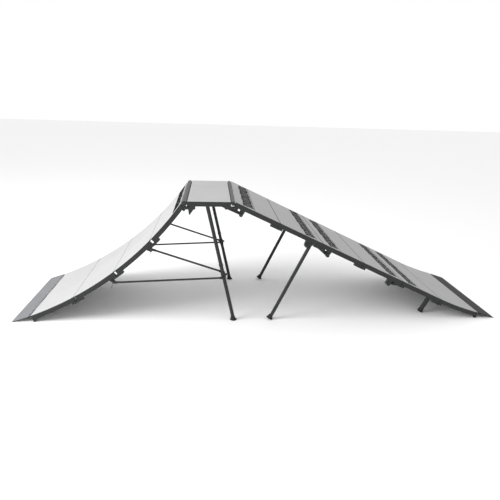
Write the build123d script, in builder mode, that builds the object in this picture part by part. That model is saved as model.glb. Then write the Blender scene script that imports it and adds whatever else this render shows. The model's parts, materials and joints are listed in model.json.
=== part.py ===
"""Folding jump ramp set: a curved take-off, a flat platform and a long landing, on tube legs.

X runs the way it is ridden, from take-off to landing, Y across, Z up from the ground. The origin
is on the ground under the middle of the whole set. Left and right are those of the rider.
"""
import os
from math import asin, atan2, cos, degrees, hypot, radians, sin, sqrt

from build123d import *

os.makedirs("parts", exist_ok=True)

# ---- driving dimensions, mm and degrees -------------------------------------------------------
width = 1220.0  # across the decks
panel_length = 508.0  # chord of every folding panel
takeoff_panels = 4
landing_panels = 6
toe_height = 65.0  # top of the deck where each flap is hinged
takeoff_start = 20.8  # slope of the deck at the approach flap
takeoff_turn = 8.4  # how much each take-off panel curves
landing_toe_turn = 9.9  # how much the last landing panel flattens
platform_length = 431.0
platform_rise = 16.0  # platform deck above the take-off lip
flap_length = 199.0
flap_thickness = 4.0

deck_thickness = 9.0
deck_gap = 1.0  # between the sheets of neighbouring panels
rail_size = 40.0  # square tube of the side rails
rail_wall = 3.0
cross_size = 30.0  # square tube across the frames
cross_wall = 2.0
cross_drop = 1.0  # foam tape between a cross tube and the sheet above it
cross_inset = 85.0  # centre of an end cross tube from the end of its panel
weld_overlap = 2.0  # how far one welded tube stands in the wall of the next
weld_depth = 1.5  # how far a welded bracket stands in the underside of a rail

takeoff_coping_diameter = 54.0
landing_coping_diameter = 42.0
coping_wall = 3.0
coping_gap = 3.0  # between a coping and the decks beside it
takeoff_coping_depth = 50.0  # underside of each coping below the platform deck
landing_coping_depth = 38.0

gap_uphill = 25.0  # a rail stops this far uphill of a seam
gap_downhill = 12.0  # and this far downhill of it
cheek_thickness = 8.0
hinge_side_gap = 0.3  # between a tongue and each cheek
hinge_tip_gap = 0.3  # and round its knuckle
knuckle_radius = 12.0
pivot_drop = 12.5  # pivot below the underside of the rails
pivot_downhill = 20.0  # pivot downhill of its seam
block_length = 55.0  # welded root of a hinge clevis
tongue_length = 35.0  # root of a hinge tongue past its pivot
pin_radius = 5.0
running_clearance = 0.05
pin_head_radius = 8.0
pin_head_height = 5.0

flap_pin_radius = 3.0
flap_barrel_radius = 6.0
flap_pin_depth = 7.0  # hinge pin of a flap below the deck's top
flap_segments = 7
flap_segment_gap = 1.0
flap_edge = 7.5  # a flap's sheet starts this far from its hinge pin
deck_edge = 9.0  # and the deck this far on the other side
toe_rail_start = 15.0  # the first rails start this far past the approach flap's hinge pin
toe_rail_end = 28.0  # and the last rails stop this far before the exit flap's

leg_diameter = 38.0
leg_wall = 2.5
platform_leg_top = 199.0  # axis of a platform leg from the take-off end of the platform
platform_foot = 481.0  # and its foot
foot_radius = 37.0
foot_flange = 6.0
foot_cone_height = 34.0
foot_cup_wall = 4.0
collar_height = 520.0
collar_length = 64.0
collar_wall = 5.0
sleeve_height = 632.0
sleeve_length = 28.0
sleeve_wall = 3.0

landing_leg_uphill = 110.0  # pivot of a landing leg uphill of the second landing seam
landing_leg_drop = 23.0  # that pivot below the underside of the rails
leg_head_seat = 0.76  # how far the corners of a leg's head stand in the wall of its tube
leg_cheek_radius = 16.0
leg_head_overlap = 30.0  # how far a leg's head stands in its tube
leg_head_length = 26.0

toe_leg_diameter = 50.0
toe_leg_uphill = 32.0  # axis of a toe leg uphill of the last landing seam
toe_leg_spread = 450.0  # from the middle to each toe leg
toe_plate = 5.0  # thickness of the plate that a toe leg butts against
toe_plate_margin = 2.0  # round the leg
toe_cap_wall = 3.0
toe_cap_length = 42.0
toe_foot_length = 56.0  # rubber wedge under the first rails
toe_foot_tread = 16.0
toe_foot_rake = 4.0
toe_foot_gap = 0.2
plug_clearance = 0.2
plug_depth = 20.0  # spigot of a rail plug

brace_diameter = 20.0
brace_wall = 2.0
brace_plate = 8.0  # flattened end
brace_end = 12.0  # half width of that end
brace_gap = 5.0  # between a brace's flattened end and the collar it hooks to
brace_lug_spread = 18.0  # how much longer a brace lug is at the rail than at its tip
brace_pin_downhill = 68.0  # pin of a brace downhill of its seam
brace_pin_drop = 38.0  # and below the underside of the rails
stud_spacing = 40.0  # between the two studs of a collar
hook_clearance = 0.2
stud_head = 4.0  # length of the head of a stud or brace pin
stud_spare = 4.0  # between that head and the brace's flattened end
ear_length = 22.0  # plate on a collar that the studs are braced by
ear_thickness = 12.0
ear_half = 10.0

knob_radius = 19.0
knob_length = 18.0
plunger_radius = 4.0
knob_drop = 46.0  # knob below the underside of the rails
knob_downhill = 105.0
knob_uphill = 140.0
knob_leg_uphill = 152.0
lug_half = 18.0
lug_corner = 8.0
knob_gap = 0.5  # between a knob and the side of its rail
knob_collar = 6.0  # length of the narrower neck of a knob
knob_neck = 5.0  # and how much smaller its radius is
knob_chamfer = 1.5
strap_thickness = 8.0
strap_gap = 1.0
strap_root = 60.0  # length of a strap along the rail that it is welded to
strap_weld = 10.0
tail_length = 55.0  # gusset under each platform rail behind the lip hinge
tail_start = 30.0  # from the hinge pivot
tail_depth = 66.0
tail_tip = 8.0
foot_step = 9.0  # a foot's cone starts this far in from the edge of its flange

# ---- worked out from them ---------------------------------------------------------------------
half_width = width / 2
rail_y = half_width - rail_size / 2  # middle of each side rail
rail_top = -deck_thickness
rail_bottom = rail_top - rail_size
hinge_width = rail_size
tongue_width = hinge_width - 2 * cheek_thickness - 2 * hinge_side_gap
cheek_y = (hinge_width - cheek_thickness) / 2
takeoff_radius = panel_length / 2 / sin(radians(takeoff_turn / 2))
toe_radius = panel_length / 2 / sin(radians(landing_toe_turn / 2))
leg_radius = leg_diameter / 2
leg_head_radius = sqrt((leg_radius - leg_head_seat) ** 2 - (tongue_width / 2) ** 2)
brace_offset = leg_radius + collar_wall + brace_gap + brace_plate / 2
takeoff_coping_room = takeoff_coping_diameter + 2 * coping_gap
landing_coping_room = landing_coping_diameter + 2 * coping_gap
flap_slope = degrees(asin((toe_height - flap_thickness) / flap_length))
sides = {"right": -1, "left": 1}
ground = (0.0, 0.0, 0.0)


def chord_slopes():
    """Slope of each take-off panel's chord, in degrees."""
    return [takeoff_start + takeoff_turn * (i + 0.5) for i in range(takeoff_panels)]


lip_height = toe_height + sum(panel_length * sin(radians(a)) for a in chord_slopes())
platform_height = lip_height + platform_rise


def landing_drop(slope):
    """Height lost by the landing when its straight panels lie at this slope."""
    straight = (landing_panels - 1) * sin(radians(slope))
    return panel_length * (straight + sin(radians(slope - landing_toe_turn / 2)))


def slope_for_drop(drop):
    """Slope at which the landing comes down by this much, by halving."""
    low, high = 0.0, 60.0
    for _ in range(60):
        middle = (low + high) / 2
        if landing_drop(middle) < drop:
            low = middle
        else:
            high = middle
    return low


landing_slope = slope_for_drop(platform_height - toe_height)


def flap_reach():
    """Ground covered by a flap."""
    return flap_length * cos(radians(flap_slope))


def chain(x, z, slopes):
    """Points where panels of these chord slopes meet, from a first point."""
    points = [(x, z)]
    for slope in slopes:
        x += panel_length * cos(radians(slope))
        z += panel_length * sin(radians(slope))
        points.append((x, z))
    return points


landing_chords = [-landing_slope] * (landing_panels - 1) + [landing_toe_turn / 2 - landing_slope]
takeoff_run = chain(0, toe_height, chord_slopes())
landing_run = chain(0, platform_height, landing_chords)
platform_span = takeoff_coping_room + platform_length + landing_coping_room
overall_length = takeoff_run[-1][0] + platform_span + landing_run[-1][0] + 2 * flap_reach()
takeoff_x = -overall_length / 2 + flap_reach()
platform_x = takeoff_x + takeoff_run[-1][0] + takeoff_coping_room
platform_end = platform_x + platform_length
landing_x = platform_end + landing_coping_room

# a seam is (x, z, slope in degrees of the deck there, rising with X)
takeoff_seams = [
    (takeoff_x + x, z, takeoff_start + takeoff_turn * i) for i, (x, z) in enumerate(takeoff_run)
]
landing_seams = [(landing_x + x, z, -landing_slope) for x, z in landing_run]
landing_seams[-1] = landing_seams[-1][:2] + (landing_toe_turn - landing_slope,)

# a panel is (seam where it starts, radius of its deck or None, length along the deck)
takeoff_arc = takeoff_radius * radians(takeoff_turn)
toe_arc = toe_radius * radians(landing_toe_turn)
takeoff_parts = [(seam, takeoff_radius, takeoff_arc) for seam in takeoff_seams[:-1]]
landing_parts = [(seam, None, panel_length) for seam in landing_seams[:-2]]
landing_parts.append((landing_seams[-2], toe_radius, toe_arc))


# ---- helpers ----------------------------------------------------------------------------------
def plane_at(seam, y=0.0):
    """Upright plane along the set at y: local x along the deck, local y square to it, upward."""
    x, z, slope = seam
    a = radians(slope)
    return Plane(origin=(x, y, z), x_dir=(cos(a), 0, sin(a)), z_dir=(0, -1, 0))


def point_at(seam, u, n):
    """World x and z of a point u along the deck and n above it."""
    p = plane_at(seam).from_local_coords((u, n, 0))
    return (p.X, p.Z)


def along(panel, u):
    """The seam-like place at u along a panel's deck."""
    (x, z, slope), radius, _ = panel
    if radius is None:
        return point_at(panel[0], u, 0) + (slope,)
    a = radians(slope) + u / radius
    a0 = radians(slope)
    return (x + radius * (sin(a) - sin(a0)), z + radius * (cos(a0) - cos(a)), degrees(a))


def prism(plane, points, thickness, mode=Mode.ADD):
    """A closed outline on a plane, thickened evenly to both sides of it."""
    with BuildSketch(plane) as outline:
        with BuildLine():
            Polyline(*points, close=True)
        make_face()
    extrude(outline.sketch, amount=thickness / 2, both=True, mode=mode)


def box_points(u0, u1, n0, n1):
    """Corners of a rectangle."""
    return [(u0, n0), (u1, n0), (u1, n1), (u0, n1)]


def strip(panel, u0, u1, n0, n1, y, thickness, mode=Mode.ADD):
    """A bar that follows a panel's deck from u0 to u1 and from n0 to n1 above its surface."""
    seam, radius, _ = panel
    if radius is None:
        prism(plane_at(seam, y), box_points(u0, u1, n0, n1), thickness, mode)
        return
    start = plane_at(seam, y)

    def on_arc(u, n):
        a = u / radius
        return ((radius - n) * sin(a), radius - (radius - n) * cos(a))

    middle = (u0 + u1) / 2
    with BuildSketch(start) as outline:
        with BuildLine():
            ThreePointArc(on_arc(u0, n0), on_arc(middle, n0), on_arc(u1, n0))
            Line(on_arc(u1, n0), on_arc(u1, n1))
            ThreePointArc(on_arc(u1, n1), on_arc(middle, n1), on_arc(u0, n1))
            Line(on_arc(u0, n1), on_arc(u0, n0))
        make_face()
    extrude(outline.sketch, amount=thickness / 2, both=True, mode=mode)


def cross_rod(x, z, radius, y0, y1, mode=Mode.ADD, bore=0.0):
    """A round bar across the set from y0 to y1."""
    with BuildSketch(Plane(origin=(x, y0, z), x_dir=(1, 0, 0), z_dir=(0, 1, 0))) as ring:
        Circle(radius)
        if bore:
            Circle(bore, mode=Mode.SUBTRACT)
    extrude(ring.sketch, amount=y1 - y0, mode=mode)


def tube_between(start, end, radius, wall):
    """A round tube from one point to another."""
    run = Vector(*end) - Vector(*start)
    with BuildSketch(Plane(origin=start, z_dir=run)) as ring:
        Circle(radius)
        if wall:
            Circle(radius - wall, mode=Mode.SUBTRACT)
    extrude(ring.sketch, amount=run.length)


def side_rails(panel, u0, u1):
    """The two square side tubes of a frame, open at their ends."""
    for side in sides.values():
        strip(panel, u0, u1, rail_bottom, rail_top, side * rail_y, rail_size)
        hollow = (u0 - 1, u1 + 1, rail_bottom + rail_wall, rail_top - rail_wall)
        strip(panel, *hollow, side * rail_y, rail_size - 2 * rail_wall, Mode.SUBTRACT)


def cross_tube(place):
    """A square tube welded between the side rails at a place on the deck's line."""
    inside = cross_size / 2 - cross_wall
    middle = rail_top - cross_drop - cross_size / 2
    with BuildSketch(plane_at(place)) as section:
        with Locations((0, middle)):
            Rectangle(cross_size, cross_size)
            Rectangle(2 * inside, 2 * inside, mode=Mode.SUBTRACT)
    extrude(section.sketch, amount=half_width - rail_size + weld_overlap, both=True)


def pivot_of(seam, uphill):
    """World x and z of the pivot of the hinge at a seam; uphill is +1 or -1 along X."""
    return point_at(seam, -uphill * pivot_downhill, rail_bottom - pivot_drop)


def clevis(pivot, slope, uphill, lift=weld_depth):
    """Hinge clevises on both rails: a welded block, then two cheeks down to the pivot."""
    x, z = pivot
    root = uphill * (pivot_downhill + gap_uphill)
    tip = root + uphill * block_length
    for side in sides.values():
        plane = plane_at((x, z, slope), side * rail_y)
        prism(plane, box_points(root, tip, -knuckle_radius, pivot_drop + lift), hinge_width)
        for cheek in (-cheek_y, cheek_y):
            y = side * rail_y + cheek
            cheek_plane = plane_at((x, z, slope), y)
            reach = box_points(0, root + uphill, -knuckle_radius, knuckle_radius)
            prism(cheek_plane, reach, cheek_thickness)
            half = cheek_thickness / 2
            cross_rod(x, z, knuckle_radius, y - half, y + half)
        outer = side * rail_y
        cross_rod(x, z, pin_radius, outer - hinge_width, outer + hinge_width, Mode.SUBTRACT)


def tongue(seam, uphill):
    """Hinge tongues under both rails, turning between the cheeks of the next frame."""
    x, z = pivot_of(seam, uphill)
    half = tongue_width / 2
    end = -uphill * tongue_length
    for side in sides.values():
        y = side * rail_y
        plane = plane_at((x, z, seam[2]), y)
        heel = box_points(end, 0, -knuckle_radius, knuckle_radius)
        prism(plane, heel, tongue_width)
        neck = -uphill * knuckle_radius
        prism(plane, box_points(end, neck, 0, pivot_drop + weld_depth), tongue_width)
        cross_rod(x, z, knuckle_radius - hinge_tip_gap, y - half, y + half)
        bore = pin_radius + running_clearance
        cross_rod(x, z, bore, y - half - 1, y + half + 1, Mode.SUBTRACT)


def hinge_pins(points):
    """Headed pivot pins through both hinges of each point given."""
    for x, z in points:
        for side in sides.values():
            y = side * rail_y
            half = hinge_width / 2
            cross_rod(x, z, pin_radius, y - half, y + half)
            for face in (y - half - pin_head_height, y + half):
                cross_rod(x, z, pin_head_radius, face, face + pin_head_height)


def knob_place(seam, u):
    """World x and z of a lock knob's axis, u along the deck from a seam."""
    return point_at(seam, u, rail_bottom - knob_drop)


def knob_lug(seam, u):
    """Lugs under both rails that carry the lock knobs."""
    x, z = knob_place(seam, u)
    low = rail_bottom - knob_drop - lug_half
    for side in sides.values():
        y = side * rail_y
        wide, narrow = lug_half + lug_corner, lug_half - lug_corner
        top, shoulder = rail_bottom + weld_depth, low + lug_corner
        outline = [(u - wide, top), (u - lug_half, shoulder), (u - narrow, low)]
        outline += [(u + narrow, low), (u + lug_half, shoulder), (u + wide, top)]
        prism(plane_at(seam, y), outline, hinge_width - 2 * strap_gap)
        bore = plunger_radius + running_clearance
        cross_rod(x, z, bore, y - hinge_width, y + hinge_width, Mode.SUBTRACT)


def lock_strap(root, seam, knob):
    """Flat straps inside the rails, from a root on their underside to a joint's lock knobs."""
    x, z = knob_place(seam, knob)
    inner = half_width - rail_size - strap_gap - strap_thickness / 2
    depth = rail_bottom - knob_drop
    way = 1 if x > root[0] else -1
    foot = way * strap_root / 2
    edge = 0.75 * lug_half
    outline = [point_at(root, -foot, strap_weld), point_at(root, foot, strap_weld)]
    outline += [point_at(seam, knob + way * lug_half, depth + edge)]
    outline += [point_at(seam, knob + way * lug_half, depth - edge)]
    outline += [point_at(seam, knob - way * lug_half, depth - edge)]
    outline += [point_at(root, -foot, -strap_weld)]
    pad_outline = [point_at(root, u, n) for u, n in box_points(-foot, 0, 0, strap_weld)]
    for side in sides.values():
        y = side * inner
        prism(plane_at(ground, y), outline, strap_thickness)
        pad = side * (half_width - rail_size - strap_gap)
        prism(plane_at(ground, pad), pad_outline, 2 * strap_gap + weld_overlap)
        bore = plunger_radius + running_clearance
        y0, y1 = y - strap_thickness, y + strap_thickness
        cross_rod(x, z, bore, y0, y1, Mode.SUBTRACT)
        past_head = pin_head_radius + strap_gap
        cross_rod(*pivot_of(seam, -1), past_head, y - 5, y + 5, Mode.SUBTRACT)


def flap_segment_ends(first):
    """Ends in y of every second barrel segment of a flap's hinge, from the first or second."""
    pitch = width / flap_segments
    ends = []
    for i in range(first, flap_segments, 2):
        low = -half_width + i * pitch + flap_segment_gap / 2
        ends.append((low, low + pitch - flap_segment_gap))
    return ends


def flap_axis(seam):
    """World x and z of a flap's hinge pin."""
    return point_at(seam, 0, -flap_pin_depth)


def flap_hinge_on_frame(seam, inward):
    """The frame's bar, barrel segments and webs for a flap; inward is +1 or -1 along X."""
    place = point_at(seam, inward * (deck_edge + cross_size / 2 + 1), 0) + (seam[2],)
    cross_tube(place)
    x, z = flap_axis(seam)
    bar = inward * (deck_edge + 3)
    web = box_points(0, bar, rail_top - 3.5, rail_top - 0.5)
    inside = half_width - rail_size - flap_segment_gap
    for y0, y1 in flap_segment_ends(0):
        y0, y1 = max(y0, -inside), min(y1, inside)
        cross_rod(x, z, flap_barrel_radius, y0, y1)
        prism(plane_at(seam, (y0 + y1) / 2), web, y1 - y0)
    cross_rod(x, z, flap_pin_radius, -width, width, Mode.SUBTRACT)


def flap(seam, outward):
    """A flap from its hinge down to the ground; outward is +1 or -1 along X."""
    x, z = flap_axis(seam)
    axis = (x, z, -outward * flap_slope)
    plane = plane_at(axis)
    top = flap_pin_depth
    sheet = [(outward * flap_edge, top), (outward * flap_edge, top - flap_thickness)]
    sheet += [(outward * (flap_length - 12), top - flap_thickness), (outward * flap_length, top - 3)]
    sheet += [(outward * flap_length, top - 1), (outward * (flap_length - 10), top)]
    prism(plane, sheet, width)
    leaf = box_points(0, outward * (flap_edge + 2), top - flap_thickness, flap_barrel_radius)
    for y0, y1 in flap_segment_ends(1):
        cross_rod(x, z, flap_barrel_radius, y0, y1)
        prism(plane_at(axis, (y0 + y1) / 2), leaf, y1 - y0)
    cross_rod(x, z, flap_pin_radius + running_clearance, -width, width, Mode.SUBTRACT)


def deck(panel, u0, u1):
    """The sheet of a panel."""
    strip(panel, u0, u1, -deck_thickness, 0, 0, width)


def brace(start, end, y):
    """A brace: flattened ends, a pin hole at the start and a hook over a stud at the end."""
    x0, z0 = start
    x1, z1 = end
    length = hypot(x1 - x0, z1 - z0)
    plane = plane_at((x0, z0, degrees(atan2(z1 - z0, x1 - x0))), y)
    half = brace_plate / 2
    tab = 3.5 * brace_end
    tube_start = plane.from_local_coords((2.5 * brace_end, 0, 0))
    tube_end = plane.from_local_coords((length - 2.5 * brace_end, 0, 0))
    tube_between(tuple(tube_start), tuple(tube_end), brace_diameter / 2, brace_wall)
    prism(plane, box_points(0, tab, -brace_end, brace_end), brace_plate)
    cross_rod(x0, z0, brace_end, y - half, y + half)
    hook = box_points(length - tab, length + brace_end, -brace_end, brace_end)
    prism(plane, hook, brace_plate)
    bore = pin_radius + running_clearance
    cross_rod(x0, z0, bore, y - half - 1, y + half + 1, Mode.SUBTRACT)
    slot = pin_radius + hook_clearance
    cross_rod(x1, z1, slot, y - half - 1, y + half + 1, Mode.SUBTRACT)
    mouth = box_points(length - slot, length + slot, -brace_end - 1, 0)
    prism(plane, mouth, brace_plate + 2, Mode.SUBTRACT)


def keep(builder, name):
    """Label a finished piece and write it."""
    builder.part.label = name
    export_step(builder.part, f"parts/{name}.step")


# ---- take-off frames and decks ----------------------------------------------------------------
def coping_from_lip():
    """The take-off coping's centre: along the deck from the lip, and below its surface."""
    x = takeoff_coping_room / 2
    z = platform_rise - takeoff_coping_depth + takeoff_coping_diameter / 2
    a = radians(takeoff_seams[-1][2])
    return (x * cos(a) + z * sin(a), x * sin(a) - z * cos(a))


def lip_deck_trim():
    """How far short of the lip the last take-off sheet stops, for a coping gap at its corner."""
    u, depth = coping_from_lip()
    reach = takeoff_coping_diameter / 2 + coping_gap
    return sqrt(reach**2 - min(reach, depth - deck_thickness) ** 2) - u


def lip_rail_trim():
    """And how far its rails do, with two gaps."""
    return takeoff_coping_diameter / 2 + 2 * coping_gap - coping_from_lip()[0]


def brace_pin_at(seam):
    """World x and z of the pin of the braces that start below a take-off seam."""
    return point_at(seam, -brace_pin_downhill, rail_bottom - brace_pin_drop)


def brace_lug(seam):
    """Lugs under both rails for the pins of the braces."""
    x, z = brace_pin_at(seam)
    u = -brace_pin_downhill
    low = rail_bottom - brace_pin_drop - brace_end
    top = rail_bottom + weld_depth
    outline = [(u - brace_end - brace_lug_spread, top), (u - brace_end, low)]
    outline += [(u + brace_end, low), (u + brace_end, top)]
    for side in sides.values():
        prism(plane_at(seam, side * rail_y), outline, tongue_width)
        y = side * rail_y
        cross_rod(x, z, pin_radius, y - hinge_width, y + hinge_width, Mode.SUBTRACT)


for i, panel in enumerate(takeoff_parts):
    first, last = i == 0, i == takeoff_panels - 1
    start, length = panel[0], panel[2]
    with BuildPart() as takeoff_frame:
        rail_start = toe_rail_start if first else gap_uphill
        side_rails(panel, rail_start, length - (lip_rail_trim() if last else gap_downhill))
        cross_tube(along(panel, length / 2))
        cross_tube(along(panel, length - cross_inset))
        if first:
            flap_hinge_on_frame(start, 1)
        else:
            cross_tube(along(panel, cross_inset))
            clevis(pivot_of(start, 1), start[2], 1)
        tongue(takeoff_seams[i + 1], 1)
        if i in (1, 2):
            brace_lug(takeoff_seams[i + 1])
    keep(takeoff_frame, f"takeoff_frame_{i + 1}")
    with BuildPart() as takeoff_deck:
        deck_end = length - (lip_deck_trim() if last else deck_gap / 2)
        deck(panel, deck_edge if first else deck_gap / 2, deck_end)
    keep(takeoff_deck, f"takeoff_deck_{i + 1}")

# ---- platform ---------------------------------------------------------------------------------
platform = ((platform_x, platform_height, 0.0), None, platform_length)
lip_pivot = pivot_of(takeoff_seams[-1], 1)
ridge_pivot = pivot_of(landing_seams[0], -1)
underside = platform_height + rail_bottom

with BuildPart() as platform_frame:
    side_rails(platform, 0, platform_length)
    for u in (cross_size, platform_length / 2, platform_length - cross_size):
        cross_tube(along(platform, u))
    clevis(lip_pivot, 0, 1, underside - lip_pivot[1] - pivot_drop + weld_depth)
    clevis(ridge_pivot, 0, -1, underside - ridge_pivot[1] - pivot_drop + weld_depth)
    for side in sides.values():
        tail_top = 1 - knuckle_radius
        tail = [(tail_start, tail_top), (tail_start + tail_length, tail_top)]
        tail += [(tail_start + 2 * tail_tip, -tail_depth), (tail_start + tail_tip, -tail_depth)]
        prism(plane_at(lip_pivot + (0.0,), side * rail_y), tail, hinge_width)
    strap_at = (platform_end - strap_root, underside, 0.0)
    lock_strap(strap_at, landing_seams[0], knob_downhill)
keep(platform_frame, "platform_frame")

with BuildPart() as platform_deck:
    deck(platform, 0, platform_length)
keep(platform_deck, "platform_deck")

takeoff_coping_x = platform_x - takeoff_coping_room / 2
landing_coping_x = platform_end + landing_coping_room / 2
copings = {
    "takeoff_coping": (takeoff_coping_x, takeoff_coping_depth, takeoff_coping_diameter / 2),
    "landing_coping": (landing_coping_x, landing_coping_depth, landing_coping_diameter / 2),
}
for name, (x, depth, radius) in copings.items():
    with BuildPart() as coping:
        bore = radius - coping_wall
        z = platform_height - depth + radius
        cross_rod(x, z, radius, -half_width, half_width, bore=bore)
    keep(coping, name)

# ---- landing frames and decks -----------------------------------------------------------------
leg_seam = landing_seams[2]
leg_pivot = point_at(leg_seam, -landing_leg_uphill, rail_bottom - landing_leg_drop)
toe_seam = landing_seams[-2]
toe_place = point_at(toe_seam, -toe_leg_uphill, 0) + (toe_seam[2],)
toe_top = rail_top - cross_drop - cross_size - toe_plate + 1


def leg_clevis():
    """Cheeks under both rails for the heads of the landing legs."""
    x, z = leg_pivot
    for side in sides.values():
        for cheek in (-cheek_y, cheek_y):
            y = side * rail_y + cheek
            plane = plane_at(leg_pivot + (leg_seam[2],), y)
            root = box_points(-leg_cheek_radius, leg_cheek_radius, 0, landing_leg_drop + weld_depth)
            prism(plane, root, cheek_thickness)
            half = cheek_thickness / 2
            cross_rod(x, z, leg_cheek_radius, y - half, y + half)
        y = side * rail_y
        cross_rod(x, z, pin_radius, y - hinge_width, y + hinge_width, Mode.SUBTRACT)


def toe_leg_socket():
    """A cross tube of its own for the toe legs, and plates that they butt against."""
    cross_tube(toe_place)
    half = toe_leg_diameter / 2 + toe_plate_margin
    for side in sides.values():
        plane = plane_at(toe_place, side * toe_leg_spread)
        plate = box_points(-half, half, toe_top, toe_top + toe_plate)
        prism(plane, plate, toe_leg_diameter + 10 * toe_plate_margin)


for i, panel in enumerate(landing_parts):
    first, last = i == 0, i == landing_panels - 1
    start, length = panel[0], panel[2]
    end = landing_seams[i + 1]
    with BuildPart() as landing_frame:
        rail_end = length - (toe_rail_end if last else gap_uphill)
        side_rails(panel, gap_downhill, rail_end)
        cross_tube(along(panel, length / 2))
        cross_tube(along(panel, cross_inset))
        tongue(start, -1)
        if last:
            flap_hinge_on_frame(end, -1)
        else:
            cross_tube(along(panel, length - cross_inset))
            clevis(pivot_of(end, -1), end[2], -1)
        if i in (0, 2):
            knob_lug(start, knob_downhill)
        if i == 1:
            strap_at = point_at(end, -block_length, rail_bottom) + (end[2],)
            lock_strap(strap_at, end, knob_downhill)
            leg_clevis()
            knob_lug(end, -knob_leg_uphill)
        if i == 3:
            knob_lug(end, -knob_uphill)
        if i == 4:
            strap_at = point_at(start, block_length, rail_bottom) + (start[2],)
            lock_strap(strap_at, start, -knob_uphill)
            toe_leg_socket()
    keep(landing_frame, f"landing_frame_{i + 1}")
    with BuildPart() as landing_deck:
        deck(panel, 0 if first else deck_gap / 2, length - (deck_edge if last else deck_gap / 2))
    keep(landing_deck, f"landing_deck_{i + 1}")

# ---- flaps and their hinge rods ---------------------------------------------------------------
flaps = {"approach": (takeoff_seams[0], -1), "exit": (landing_seams[-1], 1)}
for name, (seam, outward) in flaps.items():
    with BuildPart() as flap_sheet:
        flap(seam, outward)
    keep(flap_sheet, f"{name}_flap")
    with BuildPart() as hinge_rod:
        cross_rod(*flap_axis(seam), flap_pin_radius, -half_width + 1, half_width - 1)
    keep(hinge_rod, f"{name}_hinge_rod")

# ---- pivot pins -------------------------------------------------------------------------------
pin_groups = {
    "takeoff_fold_pins": [pivot_of(takeoff_seams[1], 1)],
    "platform_joint_pins": [pivot_of(s, 1) for s in takeoff_seams[2:]] + [ridge_pivot],
    "landing_fold_pins_1": [pivot_of(landing_seams[1], -1)],
    "landing_joint_pins_2": [pivot_of(leg_seam, -1), leg_pivot],
    "landing_fold_pins_3": [pivot_of(landing_seams[3], -1)],
    "landing_joint_pins_4": [pivot_of(landing_seams[4], -1)],
    "landing_fold_pins_5": [pivot_of(landing_seams[5], -1)],
}
for name, points in pin_groups.items():
    with BuildPart() as pins:
        hinge_pins(points)
    keep(pins, name)

# ---- platform legs, collars and feet ----------------------------------------------------------
leg_top = (platform_x + platform_leg_top, underside)
leg_foot = (platform_x + platform_foot, foot_flange)
leg_slope = degrees(atan2(leg_foot[1] - leg_top[1], leg_foot[0] - leg_top[0]))


def on_leg(height):
    """World x of the platform legs' axis at a height."""
    share = (leg_top[1] - height) / (leg_top[1] - leg_foot[1])
    return leg_top[0] + share * (leg_foot[0] - leg_top[0])


def leg_ring(height, length, wall, y):
    """A ring round a platform leg."""
    x = on_leg(height)
    run = Vector(leg_foot[0] - leg_top[0], 0, leg_foot[1] - leg_top[1]).normalized()
    start = Vector(x, y, height) - run * (length / 2)
    with BuildSketch(Plane(origin=start, z_dir=run)) as ring:
        Circle(leg_radius + wall)
        Circle(leg_radius, mode=Mode.SUBTRACT)
    extrude(ring.sketch, amount=length)


for name, side in sides.items():
    with BuildPart() as platform_leg:
        y = side * rail_y
        above = (on_leg(underside + 20), y, underside + 20)
        below = (on_leg(foot_flange - 20), y, foot_flange - 20)
        tube_between(above, below, leg_radius, leg_wall)
        reach = platform_foot + 3 * leg_radius
        keep_zone = box_points(-reach, reach, foot_flange, underside)
        prism(plane_at((platform_x + 200, 0, 0), y), keep_zone, 3 * leg_radius, Mode.INTERSECT)
    keep(platform_leg, f"platform_leg_{name}")

low_stud = collar_height - stud_spacing / 2
high_stud = collar_height + stud_spacing / 2
stud_reach = brace_offset + brace_plate / 2 + stud_spare

with BuildPart() as leg_collars:
    for side in sides.values():
        y = side * rail_y
        leg_ring(sleeve_height, sleeve_length, sleeve_wall, y)
    for side in sides.values():
        y = side * rail_y
        leg_ring(collar_height, collar_length, collar_wall, y)
        near = leg_radius + collar_wall - weld_depth
        ends = {low_stud: side, high_stud: -side}
        for height, way in ends.items():
            x = on_leg(height)
            y0, y1 = sorted((y + way * near, y + way * stud_reach))
            cross_rod(x, height, pin_radius, y0, y1)
            h0, h1 = sorted((y + way * stud_reach, y + way * (stud_reach + stud_head)))
            cross_rod(x, height, pin_head_radius, h0, h1)
        ear = box_points(leg_radius + 1, leg_radius + ear_length, -ear_half, ear_half)
        square_on = (on_leg(collar_height), collar_height, leg_slope + 90)
        prism(plane_at(square_on, y), ear, ear_thickness)
keep(leg_collars, "leg_collars")


def foot_cone(start, run, y, rise):
    """A rubber cup that a leg stands in, narrowing upward from its flange."""
    axis = Plane(origin=(start[0], y, start[1]), z_dir=run)
    with BuildSketch(axis) as base:
        Circle(foot_radius - foot_step)
    with BuildSketch(axis.offset(rise)) as top:
        Circle(leg_radius + foot_cup_wall)
    loft([base.sketch.face(), top.sketch.face()])


with BuildPart() as platform_feet:
    up_leg = Vector(leg_top[0] - leg_foot[0], 0, leg_top[1] - leg_foot[1]).normalized()
    for side in sides.values():
        y = side * rail_y
        foot_cone((on_leg(0), 0), up_leg, y, foot_cone_height + foot_flange)
    for side in sides.values():
        y = side * rail_y
        below = Vector(on_leg(0), y, 0) - up_leg * foot_radius
        with BuildSketch(Plane(origin=below, z_dir=up_leg)) as bore:
            Circle(leg_radius)
        extrude(bore.sketch, amount=3 * foot_radius, mode=Mode.SUBTRACT)
        foot_place = (leg_foot[0], 0, 0.0)
        under_flange = box_points(-2 * foot_radius, 2 * foot_radius, -foot_radius, foot_flange / 2)
        prism(plane_at(foot_place, y), under_flange, 4 * foot_radius, Mode.SUBTRACT)
    for side in sides.values():
        with BuildSketch(Plane(origin=(leg_foot[0], side * rail_y, 0))) as flange:
            Circle(foot_radius)
        extrude(flange.sketch, amount=foot_flange)
keep(platform_feet, "platform_feet")

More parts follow.
